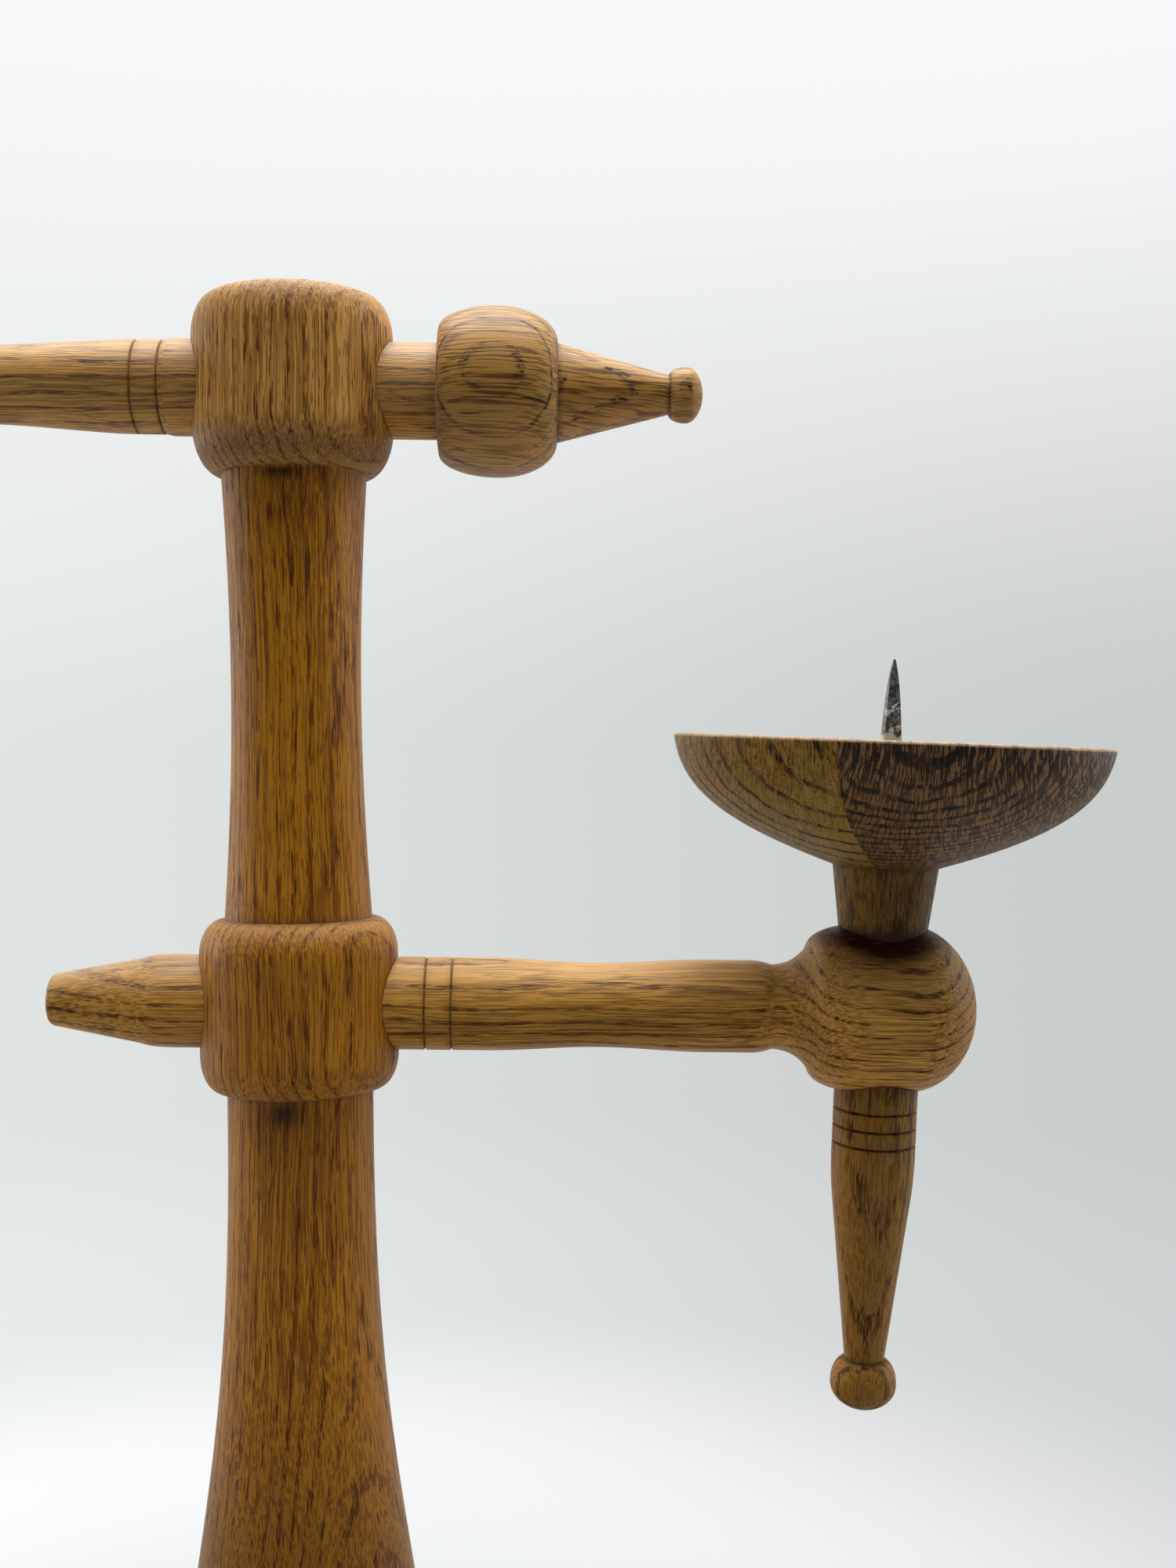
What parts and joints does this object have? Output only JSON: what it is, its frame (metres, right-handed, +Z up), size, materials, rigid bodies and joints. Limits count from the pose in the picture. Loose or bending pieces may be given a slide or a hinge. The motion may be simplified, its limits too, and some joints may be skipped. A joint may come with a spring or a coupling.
{
  "type": "candle holder",
  "caption": "Turned oak candle holder: a flared column with two through arms, each ending in a drop-in spiked dish on a grooved stem.",
  "frame": {"origin": "middle of the felt's underside, on the surface that the holder stands on, under the column's axis", "axes": "+Z up along the column, +X along the arms to the right, towards the lower candle dish, -Y towards the viewer of the picture"},
  "size_m": [0.4024, 0.152, 0.4618],
  "materials": {
    "oak": "satin oiled, open pores",
    "iron": "dark forged iron with a little wax",
    "screw_steel": "zinc plated",
    "felt": "wool felt"
  },
  "bodies": {
    "stand": {"column": "oak", "base_disc": "oak", "base_screw": "screw_steel", "base_felt": "felt"},
    "upper_arm_set": {"upper_arm": "oak", "upper_arm_cap": "oak"},
    "upper_cup_set": {"upper_cup": "oak", "upper_spike": "iron"},
    "lower_arm_set": {"lower_arm": "oak"},
    "lower_cup_set": {"lower_cup": "oak", "lower_spike": "iron"}
  },
  "joints": [
    {"name": "upper_arm_slide", "type": "slide", "parent": "stand", "child": "upper_arm_set", "axis": [-0.9998, 0, 0.0175], "range_m": [-0.096, 0.011]},
    {"name": "lower_arm_slide", "type": "slide", "parent": "stand", "child": "lower_arm_set", "axis": [0.9997, 0, -0.0232], "range_m": [-0.075, 0.03]},
    {"name": "upper_cup_lift", "type": "slide", "parent": "upper_arm_set", "child": "upper_cup_set", "axis": [0.0175, 0, 0.9998], "range_m": [0, 0.13]},
    {"name": "lower_cup_lift", "type": "slide", "parent": "lower_arm_set", "child": "lower_cup_set", "axis": [0.0464, -0.022, 0.9987], "range_m": [0, 0.04]}
  ]
}
